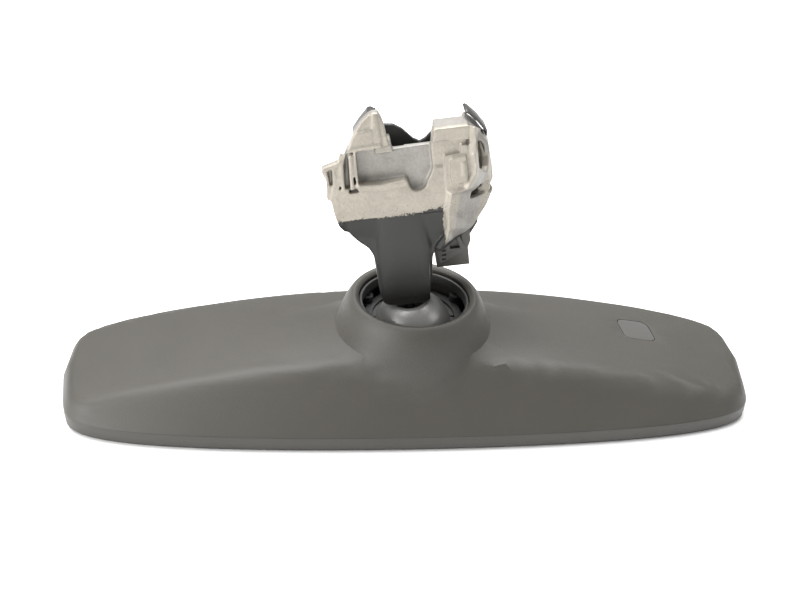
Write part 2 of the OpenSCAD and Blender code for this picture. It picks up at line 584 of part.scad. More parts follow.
rear_housing();
front_bezel();
front_glass();
cell_seal();
mirror_glass();
foam_pad();
glass_carrier();
housing_screws();
circuit_board();
board_chips();
board_screws();
board_socket();
ambient_sensor();
light_guide();
sensor_window();
glare_sensor();
socket_base();
socket_screws();
clamp_plate();
clamp_screws();
spring_washers();
collar_ring();
head_loom();
friction_cup();
pivot_ball();
arm_casting();
spigot_nut();
rear_cover();
cover_screws();
side_panel();
connector_shell();
connector_pins();
arm_loom();
spring_clip_left();
spring_clip_right();
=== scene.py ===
import bpy
import math
from mathutils import Matrix, Vector


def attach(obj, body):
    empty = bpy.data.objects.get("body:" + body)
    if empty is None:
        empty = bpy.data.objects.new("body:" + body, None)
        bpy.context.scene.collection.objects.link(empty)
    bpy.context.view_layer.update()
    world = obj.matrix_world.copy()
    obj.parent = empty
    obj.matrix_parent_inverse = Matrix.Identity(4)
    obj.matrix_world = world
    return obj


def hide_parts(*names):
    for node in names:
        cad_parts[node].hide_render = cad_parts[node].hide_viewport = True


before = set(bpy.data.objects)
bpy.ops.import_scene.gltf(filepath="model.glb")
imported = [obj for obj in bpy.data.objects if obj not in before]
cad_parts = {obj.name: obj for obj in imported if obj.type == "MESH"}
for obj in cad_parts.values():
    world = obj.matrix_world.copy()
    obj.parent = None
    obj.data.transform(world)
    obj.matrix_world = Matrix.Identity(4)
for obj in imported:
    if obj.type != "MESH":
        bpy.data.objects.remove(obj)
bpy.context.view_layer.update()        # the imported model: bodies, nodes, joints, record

print("frame loaded")

# ---- working helpers ----
mm = 0.001


def clearSelection():
    if bpy.context.object and bpy.context.object.mode != "OBJECT":
        bpy.ops.object.mode_set(mode="OBJECT")
    bpy.ops.object.select_all(action="DESELECT")


def pick(piece):
    clearSelection()
    piece.select_set(True)
    bpy.context.view_layer.objects.active = piece


def finishWith(piece, kind, **settings):      # adds a modifier and applies it
    pick(piece)
    modifier = piece.modifiers.new(kind.lower(), kind)
    for key, value in settings.items():
        setattr(modifier, key, value)
    bpy.ops.object.modifier_apply(modifier=modifier.name)


def editMesh(piece, action):                  # runs action in edit mode with everything selected
    pick(piece)
    bpy.ops.object.mode_set(mode="EDIT")
    bpy.ops.mesh.select_all(action="SELECT")
    action()
    bpy.ops.object.mode_set(mode="OBJECT")


def outward(piece):
    editMesh(piece, lambda: bpy.ops.mesh.normals_make_consistent(inside=False))


def tidyCopy(node, name):                     # a merged copy of a CAD node, to round and smooth
    clearSelection()
    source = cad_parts[node]
    source.select_set(True)
    bpy.context.view_layer.objects.active = source
    bpy.ops.object.duplicate()
    piece = bpy.context.object
    piece.name = name
    piece.data = piece.data.copy()
    piece.parent = None
    piece.matrix_world = Matrix.Identity(4)
    editMesh(piece, lambda: bpy.ops.mesh.remove_doubles(threshold=1e-6))
    return piece


def smooth(piece, angle=32):
    pick(piece)
    bpy.ops.object.shade_smooth_by_angle(angle=math.radians(angle))


def dress(piece, material, body, node=None):
    piece.data.materials.clear()
    piece.data.materials.append(material)
    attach(piece, body)
    if node:
        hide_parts(node)


# The arm is modelled upright in millimetres and then leaned with its CAD body.
armPlace = {"ballHeight": 25, "lean": 7}


def settle(piece):
    pick(piece)
    lean = math.radians(-armPlace["lean"])
    turn = Matrix.Rotation(lean, 4, "Y")
    piece.matrix_world = Matrix.Translation((0, 0, armPlace["ballHeight"] * mm)) @ turn @ Matrix.Scale(mm, 4)
    bpy.ops.object.transform_apply(location=True, rotation=True, scale=True)


def plate(name, outline, front, back):        # a flat piece: outline in (u, w), from v = front to v = back
    clearSelection()
    bpy.ops.mesh.primitive_circle_add(vertices=len(outline), radius=1, fill_type="NGON")
    piece = bpy.context.object
    piece.name = name
    for vertex, (u, w) in zip(piece.data.vertices, outline):
        vertex.co = (u, front, w)
    thick = back - front
    editMesh(piece, lambda: bpy.ops.mesh.extrude_region_move(TRANSFORM_OT_translate={"value": (0, thick, 0)}))
    outward(piece)
    return piece


def sideBlock(name, outline, left, right):    # the same along u: outline in (v, w)
    clearSelection()
    bpy.ops.mesh.primitive_circle_add(vertices=len(outline), radius=1, fill_type="NGON")
    piece = bpy.context.object
    piece.name = name
    for vertex, (v, w) in zip(piece.data.vertices, outline):
        vertex.co = (left, v, w)
    width = right - left
    editMesh(piece, lambda: bpy.ops.mesh.extrude_region_move(TRANSFORM_OT_translate={"value": (width, 0, 0)}))
    outward(piece)
    return piece


def wallStrip(name, frontEdge, backEdge, thick):   # a wall between two edges, thickened to one side
    clearSelection()
    bpy.ops.mesh.primitive_grid_add(x_subdivisions=len(frontEdge) - 1, y_subdivisions=1, size=2)
    piece = bpy.context.object
    piece.name = name
    count = len(frontEdge)
    for index, vertex in enumerate(piece.data.vertices):
        row, column = divmod(index, count)
        vertex.co = (frontEdge, backEdge)[row][column]
    finishWith(piece, "SOLIDIFY", thickness=thick, offset=1, use_even_offset=True)
    outward(piece)
    return piece


def loft(name, levels, corners=40, power=3.2):     # rounded sections stacked up w
    clearSelection()
    bpy.ops.mesh.primitive_circle_add(vertices=corners, radius=1, fill_type="NGON")
    piece = bpy.context.object
    piece.name = name
    pick(piece)
    bpy.ops.object.mode_set(mode="EDIT")
    for step in range(len(levels) - 1):
        bpy.ops.mesh.extrude_region_move(TRANSFORM_OT_translate={"value": (0, 0, 1)})
    bpy.ops.object.mode_set(mode="OBJECT")
    ringHeights = sorted({round(vertex.co.z, 3) for vertex in piece.data.vertices})
    for vertex in piece.data.vertices:
        w, left, right, front, back = levels[ringHeights.index(round(vertex.co.z, 3))]
        angle = math.atan2(vertex.co.y, vertex.co.x)
        c, s = math.cos(angle), math.sin(angle)
        reach = (abs(c) ** power + abs(s) ** power) ** (-1 / power)
        vertex.co = ((left + right) / 2 + reach * c * (right - left) / 2,
                     (front + back) / 2 + reach * s * (back - front) / 2, w)
    outward(piece)
    return piece


def cut(piece, *cutters):
    for cutter in cutters:
        finishWith(piece, "BOOLEAN", operation="DIFFERENCE", object=cutter, solver="EXACT")
        bpy.data.objects.remove(cutter, do_unlink=True)


def joined(name, parts):
    clearSelection()
    for part in parts:
        part.select_set(True)
    bpy.context.view_layer.objects.active = parts[0]
    bpy.ops.object.join()
    parts[0].name = name
    return parts[0]


def ribbon(name, path, thick, front, back):   # a bent strip that follows path in (u, w)
    rims = []
    for side in (0.5, -0.5):
        rim = []
        for i, (u, w) in enumerate(path):
            a, b = path[max(i - 1, 0)], path[min(i + 1, len(path) - 1)]
            du, dw = b[0] - a[0], b[1] - a[1]
            length = math.hypot(du, dw)
            rim.append((u - dw / length * thick * side, w + du / length * thick * side))
        rims.append(rim)
    return plate(name, rims[0] + rims[1][::-1], front, back)


def arc(centre, radius, start, end, steps):
    turns = [math.radians(start + (end - start) * i / steps) for i in range(steps + 1)]
    return [(centre[0] + radius * math.cos(a), centre[1] + radius * math.sin(a)) for a in turns]


# ---- studio ----
studio = {"floorSize": 6, "keyPower": 36, "fillPower": 8, "rimPower": 1.5, "worldLight": 0.38,
          "floorDark": (0.955, 0.955, 0.95, 1), "floorLight": (0.975, 0.975, 0.972, 1)}
cameraPlace = {"location": (-0.0335, -0.2904, 0.2256), "turn": (57.06, -2.2, -4.2), "lens": 45}


def floorMaterial():
    material = bpy.data.materials.new("paleFloor")
    material.use_nodes = True
    nodes = material.node_tree.nodes
    nodes["Principled BSDF"].inputs["Roughness"].default_value = 0.7
    noise = nodes.new("ShaderNodeTexNoise")
    noise.inputs["Scale"].default_value = 3
    ramp = nodes.new("ShaderNodeValToRGB")
    ramp.color_ramp.elements[0].color = studio["floorDark"]
    ramp.color_ramp.elements[1].color = studio["floorLight"]
    material.node_tree.links.new(noise.outputs["Fac"], ramp.inputs["Fac"])
    material.node_tree.links.new(ramp.outputs["Color"], nodes["Principled BSDF"].inputs["Base Color"])
    return material


clearSelection()
bpy.ops.mesh.primitive_plane_add(size=studio["floorSize"], location=(0, 0, -0.0002))
floor = bpy.context.object
floor.name = "floor"
floor.data.materials.append(floorMaterial())

world = bpy.context.scene.world or bpy.data.worlds.new("studioWorld")
bpy.context.scene.world = world
world.use_nodes = True
world.node_tree.nodes["Background"].inputs["Color"].default_value = (1, 1, 1, 1)
world.node_tree.nodes["Background"].inputs["Strength"].default_value = studio["worldLight"]


def softbox(name, place, aim, size, power):
    bpy.ops.object.light_add(type="AREA", location=place)
    lamp = bpy.context.object
    lamp.name = name
    lamp.data.shape = "RECTANGLE"
    lamp.data.size, lamp.data.size_y = size
    lamp.data.energy = power
    lamp.rotation_euler = (Vector(aim) - Vector(place)).to_track_quat("-Z", "Y").to_euler()
    return lamp


softbox("overheadBox", (-0.1, 0.35, 1.1), (0, 0, 0.03), (1.5, 1.0), studio["keyPower"])
softbox("frontBox", (-0.75, -0.42, 0.36), (-0.06, 0, 0.03), (0.5, 0.4), studio["fillPower"])
softbox("sideBox", (0.9, -0.1, 0.55), (0, 0, 0.05), (0.4, 0.6), studio["rimPower"])

bpy.ops.object.camera_add(location=cameraPlace["location"],
                          rotation=[math.radians(a) for a in cameraPlace["turn"]])
camera = bpy.context.object
camera.data.lens = cameraPlace["lens"]
camera.data.sensor_width = 36
camera.data.clip_start = 0.01
bpy.context.scene.camera = camera
bpy.context.scene.view_settings.view_transform = "Standard"    # keeps the pale floor pale
print("studio set")


# ---- finishes ----
def newGroup(name, inputs, outputs):
    group = bpy.data.node_groups.new(name, "ShaderNodeTree")
    for label, kind, value in inputs:
        socket = group.interface.new_socket(name=label, in_out="INPUT", socket_type=kind)
        if value is not None:
            socket.default_value = value
    for label, kind in outputs:
        group.interface.new_socket(name=label, in_out="OUTPUT", socket_type=kind)
    return group, group.nodes.new("NodeGroupInput"), group.nodes.new("NodeGroupOutput")


def calc(tree, operation, first, second=None, third=None, clamp=False):
    node = tree.nodes.new("ShaderNodeMath")
    node.operation = operation
    node.use_clamp = clamp
    for socket, value in zip(node.inputs, (first, second, third)):
        if value is None:
            continue
        if isinstance(value, (int, float)):
            socket.default_value = value
        else:
            tree.links.new(value, socket)
    return node.outputs["Value"]


def noiseOn(tree, vector, scale, detail=2.0, roughness=0.5):
    node = tree.nodes.new("ShaderNodeTexNoise")
    for label, value in (("Scale", scale), ("Detail", detail), ("Roughness", roughness)):
        if isinstance(value, (int, float)):
            node.inputs[label].default_value = value
        else:
            tree.links.new(value, node.inputs[label])
    tree.links.new(vector, node.inputs["Vector"])
    return node.outputs["Fac"]


def mouldGrainGroup():      # fine moulded grain: a cell pattern softened by noise
    group, start, end = newGroup("mouldGrain",
                                 [("Vector", "NodeSocketVector", None), ("Scale", "NodeSocketFloat", 2500.0)],
                                 [("Height", "NodeSocketFloat"), ("Tone", "NodeSocketFloat"),
                                  ("Rub", "NodeSocketFloat")])
    cells = group.nodes.new("ShaderNodeTexVoronoi")
    cells.feature = "SMOOTH_F1"
    group.links.new(start.outputs["Vector"], cells.inputs["Vector"])
    group.links.new(start.outputs["Scale"], cells.inputs["Scale"])
    fine = noiseOn(group, start.outputs["Vector"], calc(group, "MULTIPLY", start.outputs["Scale"], 1.7))
    group.links.new(calc(group, "ADD", calc(group, "MULTIPLY", cells.outputs["Distance"], 0.7), fine),
                    end.inputs["Height"])
    cloudy = noiseOn(group, start.outputs["Vector"], 38.0, 3.0)
    group.links.new(calc(group, "ADD", calc(group, "MULTIPLY", cloudy, 0.6),
                         calc(group, "MULTIPLY", fine, 0.4)), end.inputs["Tone"])
    streaks = noiseOn(group, start.outputs["Vector"], 11.0, 4.0, 0.6)
    group.links.new(calc(group, "SMOOTH_MAX", calc(group, "SUBTRACT", streaks, 0.55), 0.0, 0.05),
                    end.inputs["Rub"])
    return group


def castSkinGroup():        # pebbled skin of a die casting
    group, start, end = newGroup("castSkin",
                                 [("Vector", "NodeSocketVector", None), ("Scale", "NodeSocketFloat", 900.0)],
                                 [("Height", "NodeSocketFloat"), ("Tone", "NodeSocketFloat"),
                                  ("Pits", "NodeSocketFloat")])
    pebble = noiseOn(group, start.outputs["Vector"], start.outputs["Scale"], 3.0, 0.6)
    broad = noiseOn(group, start.outputs["Vector"], calc(group, "MULTIPLY", start.outputs["Scale"], 0.18), 2.0)
    group.links.new(calc(group, "ADD", calc(group, "MULTIPLY", pebble, 0.7), calc(group, "MULTIPLY", broad, 0.6)),
                    end.inputs["Height"])
    group.links.new(calc(group, "ADD", calc(group, "MULTIPLY", pebble, 0.5), calc(group, "MULTIPLY", broad, 0.5)),
                    end.inputs["Tone"])
    cells = group.nodes.new("ShaderNodeTexVoronoi")
    group.links.new(start.outputs["Vector"], cells.inputs["Vector"])
    group.links.new(calc(group, "MULTIPLY", start.outputs["Scale"], 0.9), cells.inputs["Scale"])
    group.links.new(calc(group, "LESS_THAN", cells.outputs["Distance"], 0.16), end.inputs["Pits"])
    return group


def edgeWearGroup():        # rubbed edges, from how sharply the surface turns
    group, start, end = newGroup("edgeWear",
                                 [("Vector", "NodeSocketVector", None), ("Start", "NodeSocketFloat", 0.52),
                                  ("Strength", "NodeSocketFloat", 8.0)], [("Mask", "NodeSocketFloat")])
    geometry = group.nodes.new("ShaderNodeNewGeometry")
    turned = calc(group, "MULTIPLY", calc(group, "SUBTRACT", geometry.outputs["Pointiness"], start.outputs["Start"]),
                  start.outputs["Strength"], clamp=True)
    broken = noiseOn(group, start.outputs["Vector"], 420.0, 4.0, 0.65)
    group.links.new(calc(group, "MULTIPLY", turned, broken, clamp=True), end.inputs["Mask"])
    return group


mouldGrain, castSkin, edgeWear = mouldGrainGroup(), castSkinGroup(), edgeWearGroup()


class Finish:               # one material being put together
    def __init__(self, name, roughness, metallic=0.0, **constants):
        self.material = bpy.data.materials.new(name)
        self.material.use_nodes = True
        self.tree = self.material.node_tree
        self.shader = self.tree.nodes["Principled BSDF"]
        self.shader.inputs["Roughness"].default_value = roughness
        self.shader.inputs["Metallic"].default_value = metallic
        for label, value in constants.items():
            self.shader.inputs[label.replace("_", " ")].default_value = value
        self.place = self.tree.nodes.new("ShaderNodeTexCoord").outputs["Object"]

    def use(self, group, **values):
        node = self.tree.nodes.new("ShaderNodeGroup")
        node.node_tree = group
        self.tree.links.new(self.place, node.inputs["Vector"])
        for label, value in values.items():
            node.inputs[label].default_value = value
        return node.outputs

    def blend(self, factor, dark, light):
        node = self.tree.nodes.new("ShaderNodeMix")
        node.data_type = "RGBA"
        self.tree.links.new(factor, node.inputs["Factor"])
        for socket, value in ((node.inputs[6], dark), (node.inputs[7], light)):
            if isinstance(value, tuple):
                socket.default_value = (*value, 1)
            else:
                self.tree.links.new(value, socket)
        return node.outputs[2]

    def between(self, factor, low, high):
        node = self.tree.nodes.new("ShaderNodeMapRange")
        self.tree.links.new(factor, node.inputs["Value"])
        node.inputs["To Min"].default_value = low
        node.inputs["To Max"].default_value = high
        return node.outputs["Result"]

    def set(self, label, output):
        self.tree.links.new(output, self.shader.inputs[label])

    def bump(self, height, distance, strength=1.0):
        node = self.tree.nodes.new("ShaderNodeBump")
        node.inputs["Distance"].default_value = distance
        node.inputs["Strength"].default_value = strength
        self.tree.links.new(height, node.inputs["Height"])
        self.set("Normal", node.outputs["Normal"])


def mouldedPlastic(name, dark, light, rough=(0.46, 0.6), grain=2500.0, depth=0.00006, wear=0.0):
    finish = Finish(name, rough[0], IOR=1.49)
    skin = finish.use(mouldGrain, Scale=grain)
    colour = finish.blend(skin["Tone"], dark, light)
    if wear:
        edge = finish.use(edgeWear, Strength=wear)
        colour = finish.blend(edge["Mask"], colour, tuple(min(1, 2.2 * c) for c in light))
    finish.set("Base Color", colour)
    finish.set("Roughness", finish.between(skin["Rub"], rough[1], rough[0]))
    finish.bump(skin["Height"], depth)
    return finish.material


def metalFinish(name, dark, light, rough=(0.3, 0.5), metallic=0.9, skin=900.0, depth=0.00005, wear=0.0):
    finish = Finish(name, rough[0], metallic)
    cast = finish.use(castSkin, Scale=skin)
    colour = finish.blend(cast["Tone"], dark, light)
    if wear:
        edge = finish.use(edgeWear, Strength=wear)
        colour = finish.blend(edge["Mask"], colour, tuple(min(1, 1.8 * c) for c in light))
    finish.set("Base Color", colour)
    finish.set("Roughness", finish.between(cast["Tone"], rough[0], rough[1]))
    finish.bump(cast["Height"], depth)
    return finish.material


def clearFinish(name, colour, tint, transmission, roughness, scale=60.0):
    finish = Finish(name, roughness, Transmission_Weight=transmission, IOR=1.5)
    finish.set("Base Color", finish.blend(noiseOn(finish.tree, finish.place, scale), colour, tint))
    finish.bump(noiseOn(finish.tree, finish.place, 40.0, 1.0), 0.00001, 0.2)
    return finish.material


# Paint on the arm ends in a ragged spray line, higher on the right, and leaves the right rim bare; bare faces set
# back from the front are darkened as painted shade.
sprayLine = {"height": 49.6, "rise": 0.10, "ragged": 5.5, "rimStart": 13.2, "softness": 0.35,
             "paint": ((0.007, 0.0068, 0.006), (0.015, 0.0145, 0.0128)),
             "bare": ((0.21, 0.19, 0.16), (0.46, 0.425, 0.365)),
             "paintedRecessShade": ((0.13, 0.125, 0.118), (0.36, 0.35, 0.335))}


def paintedCasting():
    finish = Finish("paintedCasting", 0.5)
    tree = finish.tree
    turn = tree.nodes.new("ShaderNodeMapping")
    turn.vector_type = "TEXTURE"
    turn.inputs["Location"].default_value = (0, 0, armPlace["ballHeight"] * mm)
    turn.inputs["Rotation"].default_value = (0, math.radians(-armPlace["lean"]), 0)
    turn.inputs["Scale"].default_value = (mm, mm, mm)
    tree.links.new(finish.place, turn.inputs["Vector"])
    parts = tree.nodes.new("ShaderNodeSeparateXYZ")
    tree.links.new(turn.outputs["Vector"], parts.inputs["Vector"])
    u, v, w = parts.outputs
    ragged = noiseOn(tree, turn.outputs["Vector"], 1.3, 5.0, 0.72)
    broad = noiseOn(tree, turn.outputs["Vector"], 0.16, 1.0)
    edge = calc(tree, "ADD", calc(tree, "MULTIPLY", calc(tree, "SUBTRACT", ragged, 0.5), sprayLine["ragged"]),
                calc(tree, "MULTIPLY", calc(tree, "SUBTRACT", broad, 0.5), 3.0))
    rise = calc(tree, "MULTIPLY", calc(tree, "MAXIMUM", u, 0.0), sprayLine["rise"])
    line = calc(tree, "ADD", sprayLine["height"], rise)
    below = calc(tree, "ADD", calc(tree, "SUBTRACT", line, w), edge)
    inside = calc(tree, "ADD", calc(tree, "SUBTRACT", sprayLine["rimStart"], u),
                  calc(tree, "MULTIPLY", edge, 0.3))
    inside = calc(tree, "MAXIMUM", inside, calc(tree, "SUBTRACT", 36.0, w))
    mask = calc(tree, "MULTIPLY", calc(tree, "MINIMUM", below, inside), 1 / sprayLine["softness"], clamp=True)
    skin = finish.use(castSkin, Scale=1100.0)
    fine = finish.use(mouldGrain, Scale=3200.0)
    bare = finish.blend(skin["Tone"], *sprayLine["bare"])
    wear = finish.use(edgeWear, Strength=7.0, Start=0.53)
    bare = finish.blend(wear["Mask"], bare, (0.62, 0.585, 0.52))
    # painted shade: bare metal set back from the front plane is blended darker, standing in for the shade inside the
    # recesses
    paintedRecessShade = calc(tree, "MULTIPLY", calc(tree, "ADD", v, 6.9), 1.2, clamp=True)
    paintedRecessShade = calc(tree, "MULTIPLY", paintedRecessShade, calc(tree, "MULTIPLY", calc(tree, "SUBTRACT", 3.0, v), 0.4, clamp=True))
    bare = finish.blend(calc(tree, "MULTIPLY", paintedRecessShade, 0.75), bare, finish.blend(skin["Tone"], *sprayLine["paintedRecessShade"]))
    nearLine = calc(tree, "SUBTRACT", 1.0, calc(tree, "MULTIPLY", calc(tree, "SUBTRACT", w, line), 0.2), clamp=True)
    soot = calc(tree, "MULTIPLY", skin["Pits"], calc(tree, "ADD", calc(tree, "MULTIPLY", nearLine, 0.6), 0.25))
    bare = finish.blend(soot, bare, (0.09, 0.085, 0.075))
    finish.set("Base Color", finish.blend(mask, bare, finish.blend(fine["Tone"], *sprayLine["paint"])))
    finish.set("Metallic", finish.between(mask, 0.45, 0.0))
    finish.set("Roughness", finish.between(mask, 0.5, 0.47))
    height = calc(tree, "MULTIPLY", skin["Height"], finish.between(mask, 1.0, 0.22))
    finish.bump(height, 0.00022)
    return finish.material


print("finishes ready")

# ---- head ----
housingPlastic = mouldedPlastic("housingPlastic", (0.036, 0.0335, 0.0285), (0.056, 0.052, 0.0435), (0.38, 0.52),
                                wear=1.5)
bezelPlastic = mouldedPlastic("bezelPlastic", (0.031, 0.029, 0.025), (0.044, 0.0415, 0.0355), (0.36, 0.46))
headEdges = {"housing": 0.0005, "bezel": 0.0004, "window": 0.0004, "sharp": math.radians(38)}

housing = tidyCopy("rear_housing", "housingShell")
editMesh(housing, lambda: bpy.ops.mesh.tris_convert_to_quads(face_threshold=0.5, shape_threshold=0.7))
finishWith(housing, "BEVEL", width=headEdges["housing"], segments=3, limit_method="ANGLE",
           angle_limit=headEdges["sharp"])
smooth(housing, 40)
dress(housing, housingPlastic, "head", "rear_housing")

bezel = tidyCopy("front_bezel", "bezelFrame")
finishWith(bezel, "BEVEL", width=headEdges["bezel"], segments=3, limit_method="ANGLE",
           angle_limit=headEdges["sharp"])
smooth(bezel, 40)
dress(bezel, bezelPlastic, "head", "front_bezel")

window = tidyCopy("sensor_window", "windowLens")
finishWith(window, "BEVEL", width=headEdges["window"], segments=3, limit_method="ANGLE",
           angle_limit=headEdges["sharp"])
smooth(window, 40)


def windowFinish():
    finish = Finish("tintedWindow", 0.12, IOR=1.5, Coat_Weight=1.0, Coat_Roughness=0.03)
    cloudy = noiseOn(finish.tree, finish.place, 55.0, 2.0)
    finish.set("Base Color", finish.blend(cloudy, (0.055, 0.054, 0.050), (0.10, 0.098, 0.092)))
    finish.bump(noiseOn(finish.tree, finish.place, 30.0, 1.0), 0.00002, 0.3)
    return finish.material


dress(window, windowFinish(), "head", "sensor_window")
print("head made")

# ---- foot and stem ----
foot = {
    "shield": [(-10.2, 30), (-10.9, 34.0), (-12.1, 36.8), (-15.1, 39.6), (-17.0, 42.0), (-18.2, 44.4), (-19.3, 48),
               (-19.9, 51.4), (-20.1, 56), (14, 56), (15.6, 52), (15.4, 45), (13.4, 40), (11.2, 36), (9.4, 32)],
    "recess": [(-19, 55), (-17.6, 64), (-16.6, 70.8), (-15.2, 74), (-4.4, 73.4), (-4.4, 71.8), (10.5, 72.4),
               (21.6, 73), (21.6, 55)],
    "lower": [(-20.3, 54.6), (-20.4, 60.9), (-16.1, 60.9), (-16.1, 59.2), (-12.8, 59.2), (-12.8, 60.9), (2.6, 61.6)]
             + arc((5.8, 60.4), 2.9, 175, 360, 10) + [(9.6, 62), (10.6, 64), (10.8, 65), (14.6, 65.2), (14.6, 57),
               (16.8, 55), (15.2, 50), (12, 49.6), (-19.4, 49.6)],
    "ledge": [(-13.2, 60.5), (-13, 62.4), (-5.7, 61.9), (1.8, 62.6), (2.6, 61.9), (2.4, 60.4), (-5.8, 59.6)],
    "rightFace": [(14.4, 56.8), (10.9, 64.8), (10.7, 72), (11.3, 77.6), (22.4, 78.0), (21.8, 69.5), (22.3, 62.5),
                  (19.8, 58.1)],
    "rightEarBody": [(10.9, 70), (12.2, 78.0), (22.6, 78.2), (22.2, 70)],
    "rightEarStep": [(11.2, 73.9), (12.0, 78.1), (22.5, 78.2), (22.2, 73.7), (19.6, 73.7)],
    "leftEar": [(-15.2, 73.6), (-12.1, 79.8), (-10.2, 82.3), (-8.0, 84.4), (-6.2, 85.2), (-4.6, 85.0), (-3.8, 83.4),
                (-3.2, 81.2), (-2.2, 74), (-4.3, 73.6)],
    "leftEarBody": [(-13.6, 71), (-12.5, 76.0), (-8.4, 81.4), (-5.8, 81.2), (-4.2, 79), (-1.6, 70.4), (-1.6, 69)],
    "boss": [(16.2, 60.2), (16.2, 67.2), (17, 68.2), (21.2, 68.6), (21.6, 62.4), (21.2, 59.6), (17.6, 59)],
}


stemLevels = [(13.0, -8.6, 7.2, -4.4, 4.2), (13.6, -9.4, 8.0, -5.2, 4.8), (17, -10.0, 8.4, -5.8, 5.0),
              (24, -10.4, 8.7, -6.2, 5.0), (30, -10.7, 9.2, -6.8, 5.0), (34, -10.7, 9.6, -7.2, 5.0),
              (38, -10.4, 9.4, -7.6, 5.0), (43, -9.8, 8.6, -7.9, 4.0), (48, -9.4, 8.0, -8.0, 1.0),
              (53, -9.2, 7.6, -7.9, -1.0)]


def shieldBody():       # the wide shoulder: set back beside the stem and coming forward to the plate
    piece = plate("shield", foot["shield"], -5.2, -2.6)
    for vertex in piece.data.vertices:
        forward = max(0.0, min(1.0, (vertex.co.z - 42) / 9))
        if vertex.co.y < -4:
            vertex.co.y = -5.0 - 3.0 * forward
    return piece


rightFront = [(22.7, -8, 78.1), (22.3, -8, 69.5), (22.3, -8, 62.2), (19.6, -8, 57.9), (14.6, -8, 56.6),
              (13.3, -8, 50), (13.2, -8, 44), (12.4, -7.4, 40.2), (9.6, -6, 35.4)]
rightBack = [(27.8, 4, 71.0), (28.3, 8, 67.0), (29.4, 8, 57.7), (30.2, 8, 52.3), (30.0, 8, 48.7), (27.4, 6.4, 43.4),
             (22.1, 4.0, 37.6), (15.6, 2.5, 34.0), (10.2, 0, 31.7)]
leftFront = [(-15.8, -8, 72.4), (-16.7, -8, 70.4), (-18.4, -8, 64), (-20.2, -8, 57.4), (-19.7, -8, 52.4),
             (-19.0, -7, 47.8), (-17.6, -5.6, 44.8)]
leftBack = [(-15.6, 3, 66.5), (-16.6, 6, 64.2), (-18.0, 8, 61), (-18.9, 8, 57), (-18.6, 7, 53), (-17.6, 4, 49.6),
            (-15.8, 1.5, 46.6)]


def sideWalls():
    right = wallStrip("rightWall", rightFront, rightBack, 2.2)
    left = wallStrip("leftWall", leftFront, leftBack, -2.0)
    dShape = [(-5.8, 62.6), (-5.8, 74.0), (-2.0, 74.2), (1.5, 72.0), (3.6, 68.0), (4.4, 61.5), (3.0, 58.6),
              (1.0, 57.6), (-0.8, 58.4)]
    cut(right, sideBlock("dOpening", dShape, 17, 36))
    cut(right, sideBlock("pocketFront", [(-2.4, 54.6), (3.6, 53.4), (3.6, 48.6), (-2.0, 49.8)], 14, 36))
    backShape = [(4.6, 51.2), (7.0, 52.6), (7.2, 50.0), (5.6, 47.4), (4.5, 47.8)]
    cut(right, sideBlock("pocketBack", backShape, 14, 36))
    return [right, left]


def web():              # closes the pockets and the D opening from behind
    return plate("web", [(13, 42), (27.6, 46), (28.8, 50), (28.6, 58), (26.4, 68.6), (19.4, 68.6), (17.4, 57),
                         (16.6, 49)], 5, 7)


def flange():           # the ribbed tab on the left
    tab = plate("flangeTab", [(-23.9, 66.6), (-16.4, 69.4), (-17.6, 60), (-20.2, 56.8), (-22.8, 56.8), (-23.4, 58.4),
                              (-22.9, 60.4), (-22.8, 63.6), (-23.6, 65.6)], -6.2, -4.4)
    rim = plate("flangeRim", [(-23.9, 67.6), (-23.7, 68.8), (-16.4, 71.0), (-16.6, 69.7), (-22.3, 67.6)], -8.1, -5.2)
    lower = plate("flangeLower", [(-20.6, 57.2), (-23.2, 57.4), (-23.5, 58.8), (-23.2, 60.4), (-22.8, 63.4),
                                  (-20.6, 62.0)], -7.4, -5)
    ribs = [plate("rib", outline, front, -5.4) for outline, front in (
        ([(-22.8, 63), (-23.2, 67.4), (-22.2, 67.8), (-21.9, 63)], -7.9),
        ([(-20.9, 62.6), (-20.6, 68.4), (-19.6, 68.8), (-19.9, 62.4)], -8.0),
        ([(-18.4, 60.4), (-17.9, 69.6), (-16.8, 69.9), (-17.3, 60.4)], -8.1),
        ([(-15.6, 60.8), (-15.1, 72.2), (-13.9, 72.8), (-14.4, 60.8)], -8.8),
        ([(-13.7, 61), (-13.3, 73.2), (-12.6, 73.4), (-12.9, 61)], -8.6))]
    return [tab, rim, lower] + ribs


def earBlocks():
    left = plate("leftEar", foot["leftEar"], -7.6, -4.4)
    slope = plate("leftEarBody", foot["leftEarBody"], -5, 3.5)
    panel = plate("earPanel", [(-14.7, 74.6), (-12.4, 79.2), (-7.0, 80), (-7.0, 75.2)], -8.2, -7)
    rib = plate("earRib", [(-6.9, 74.6), (-6.4, 84.6), (-5.2, 84.8), (-4.5, 75)], -8.1, -7)
    shelf = plate("earShelf", [(-15.1, 73.4), (-15, 74.6), (-4.6, 75.1), (-4.5, 73.9)], -8.5, -6)
    post = plate("earPost", [(-6.6, 71.2), (-6.6, 74.6), (-1.6, 74.2), (-1.2, 71.4)], -6.6, 1.5)
    body = plate("rightEarBody", foot["rightEarBody"], -5, 0.3)
    step = plate("rightEarStep", foot["rightEarStep"], -8.2, -4.6)
    shoulder = ribbon("rightShoulder", [(22.0, 77.4), (25.4, 74.2), (27.9, 70.4), (28.2, 66.8)], 1.6, -6, 4)
    return [left, slope, panel, rib, shelf, post, body, step, shoulder]


def relax(piece, top, fade, rounds):    # blends the stem into the shoulder; the foot and the stem's end stay crisp
    group = piece.vertex_groups.new(name="stem")
    for vertex in piece.data.vertices:
        weight = max(0.0, min(1.0, (top - vertex.co.z) / fade)) * max(0.2, min(1.0, (vertex.co.z - 27) / 6))
        if weight > 0:
            group.add([vertex.index], weight, "REPLACE")
    finishWith(piece, "SMOOTH", factor=0.5, iterations=rounds, vertex_group="stem")


castDetail = {"voxel": 0.34, "rounding": 2, "stemTop": 49.5, "stemFade": 5.0, "stemRounding": 24}


